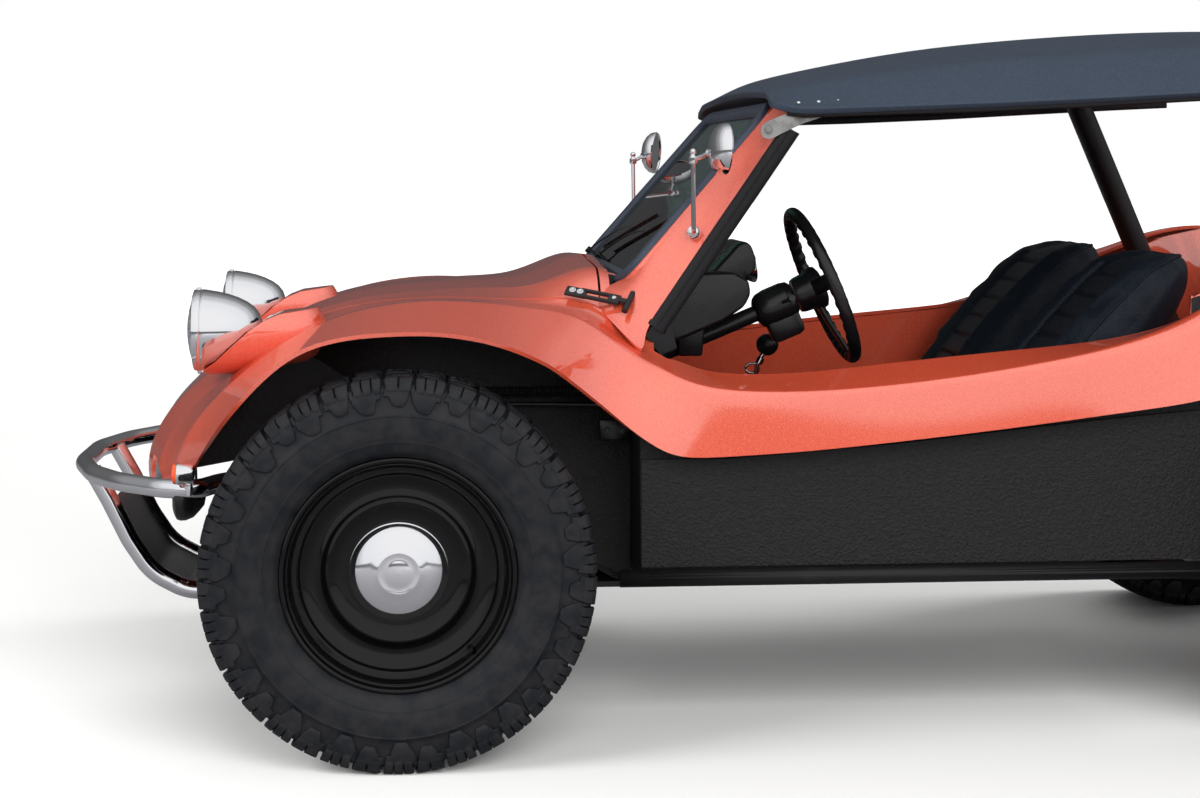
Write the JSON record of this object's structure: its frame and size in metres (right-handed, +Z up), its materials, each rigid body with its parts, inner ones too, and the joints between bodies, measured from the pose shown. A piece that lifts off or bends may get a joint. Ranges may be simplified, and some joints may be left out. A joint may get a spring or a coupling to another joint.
{
  "type": "dune buggy",
  "caption": "Open two-seat beach buggy: one-piece shell, raked windscreen, hard top, roll bar, tube bumpers, open rear engine, steered front wheels and opening front lid.",
  "frame": {"origin": "bottom centre of the bounding box, on the ground", "axes": "+X to the car's rear, +Y to the car's right, +Z up"},
  "size_m": [3.3727, 1.67, 1.4338],
  "materials": {
    "flake_paint": "metal flake under clear coat",
    "black_frame": "satin black",
    "textured_panel": "coarse textured black",
    "tinted_glass": "clear, tinted",
    "seal_rubber": "matte",
    "black_trim": "fine grain",
    "roof_vinyl": "grained vinyl",
    "bar_padding": "padded vinyl",
    "seat_vinyl": "perforated vinyl",
    "chrome_trim": "polished",
    "lamp_glass": "clear",
    "amber_lens": "ribbed lens",
    "red_lens": "ribbed lens",
    "cast_alloy": "as cast",
    "exhaust_steel": "heat dulled",
    "brushed_plate": "brushed",
    "forged_steel": "satin",
    "tyre_rubber": "mud terrain",
    "rim_black": "gloss black"
  },
  "bodies": {
    "chassis": {"floor_pan": "black_frame", "body_shell": "flake_paint", "tub_sides": "flake_paint", "arch_walls": "flake_paint", "rear_tub": "flake_paint", "side_panels": "textured_panel", "windscreen_frame": "flake_paint", "windscreen_glass": "tinted_glass", "windscreen_seal": "seal_rubber", "dash_panel": "black_trim", "roof_shell": "roof_vinyl", "roll_bar": "bar_padding", "seat_left": "seat_vinyl", "seat_right": "seat_vinyl", "steering_column": "black_frame", "gear_lever": "chrome_trim", "pedals": "black_frame", "mirrors": "chrome_trim", "headlamp_bowls": "chrome_trim", "headlamp_lenses": "lamp_glass", "front_bumper": "chrome_trim", "front_indicators": "amber_lens", "front_beam": "black_frame", "front_arms": "black_frame", "fuel_tank": "black_frame", "rear_axle": "cast_alloy", "engine_block": "cast_alloy", "fan_shroud": "black_frame", "engine_ancillaries": "cast_alloy", "exhaust": "exhaust_steel", "rear_bumper": "chrome_trim", "tail_lamps": "red_lens", "lid_latches": "black_trim", "pillar_trims": "bar_padding", "roof_brackets": "cast_alloy", "wipers": "black_trim", "skid_plate": "brushed_plate", "front_dampers": "forged_steel"},
    "front_lid": {"front_lid": "flake_paint"},
    "steering_wheel": {"steering_wheel": "black_trim"},
    "knuckle_left": {"knuckle_left": "forged_steel"},
    "knuckle_right": {"knuckle_right": "forged_steel"},
    "track_rod": {"track_rod": "forged_steel"},
    "wheel_front_left": {"tyre_front_left": "tyre_rubber", "rim_front_left": "rim_black", "cap_front_left": "chrome_trim"},
    "wheel_front_right": {"tyre_front_right": "tyre_rubber", "rim_front_right": "rim_black", "cap_front_right": "chrome_trim"},
    "wheel_rear_left": {"tyre_rear_left": "tyre_rubber", "rim_rear_left": "rim_black", "cap_rear_left": "chrome_trim"},
    "wheel_rear_right": {"tyre_rear_right": "tyre_rubber", "rim_rear_right": "rim_black", "cap_rear_right": "chrome_trim"}
  },
  "joints": [
    {"name": "steer_left", "type": "hinge", "parent": "chassis", "child": "knuckle_left", "pos_m": [-0.9925, -0.585, 0.372], "axis": [0, 0, 1], "range_deg": [-28, 28]},
    {"name": "steer_right", "type": "hinge", "parent": "chassis", "child": "knuckle_right", "pos_m": [-0.9925, 0.585, 0.372], "axis": [0, 0, 1], "range_deg": [-28, 28]},
    {"name": "track_rod_slide", "type": "slide", "parent": "chassis", "child": "track_rod", "axis": [0, 1, 0], "range_m": [-0.054, 0.054]},
    {"name": "steering_wheel_turn", "type": "hinge", "parent": "chassis", "child": "steering_wheel", "pos_m": [-0.1125, -0.33, 0.884], "axis": [0.9225, 0, 0.3859], "range_deg": [-450, 450]},
    {"name": "front_lid_open", "type": "hinge", "parent": "chassis", "child": "front_lid", "pos_m": [-1.3285, 0, 0.762], "axis": [0, -1, 0], "range_deg": [0, 55]},
    {"name": "spin_front_left", "type": "hinge", "parent": "knuckle_left", "child": "wheel_front_left", "pos_m": [-0.9925, -0.7, 0.372], "axis": [0, 1, 0], "continuous": true},
    {"name": "spin_front_right", "type": "hinge", "parent": "knuckle_right", "child": "wheel_front_right", "pos_m": [-0.9925, 0.7, 0.372], "axis": [0, 1, 0], "continuous": true},
    {"name": "spin_rear_left", "type": "hinge", "parent": "chassis", "child": "wheel_rear_left", "pos_m": [1.0395, -0.704, 0.39], "axis": [0, 1, 0], "continuous": true},
    {"name": "spin_rear_right", "type": "hinge", "parent": "chassis", "child": "wheel_rear_right", "pos_m": [1.0395, 0.704, 0.39], "axis": [0, 1, 0], "continuous": true}
  ],
  "couplings": [
    {"joint": "steer_right", "follows": "steer_left", "ratio": 1},
    {"joint": "track_rod_slide", "follows": "steer_left", "m_per_rad": 0.11},
    {"joint": "steering_wheel_turn", "follows": "steer_left", "ratio": 16}
  ]
}
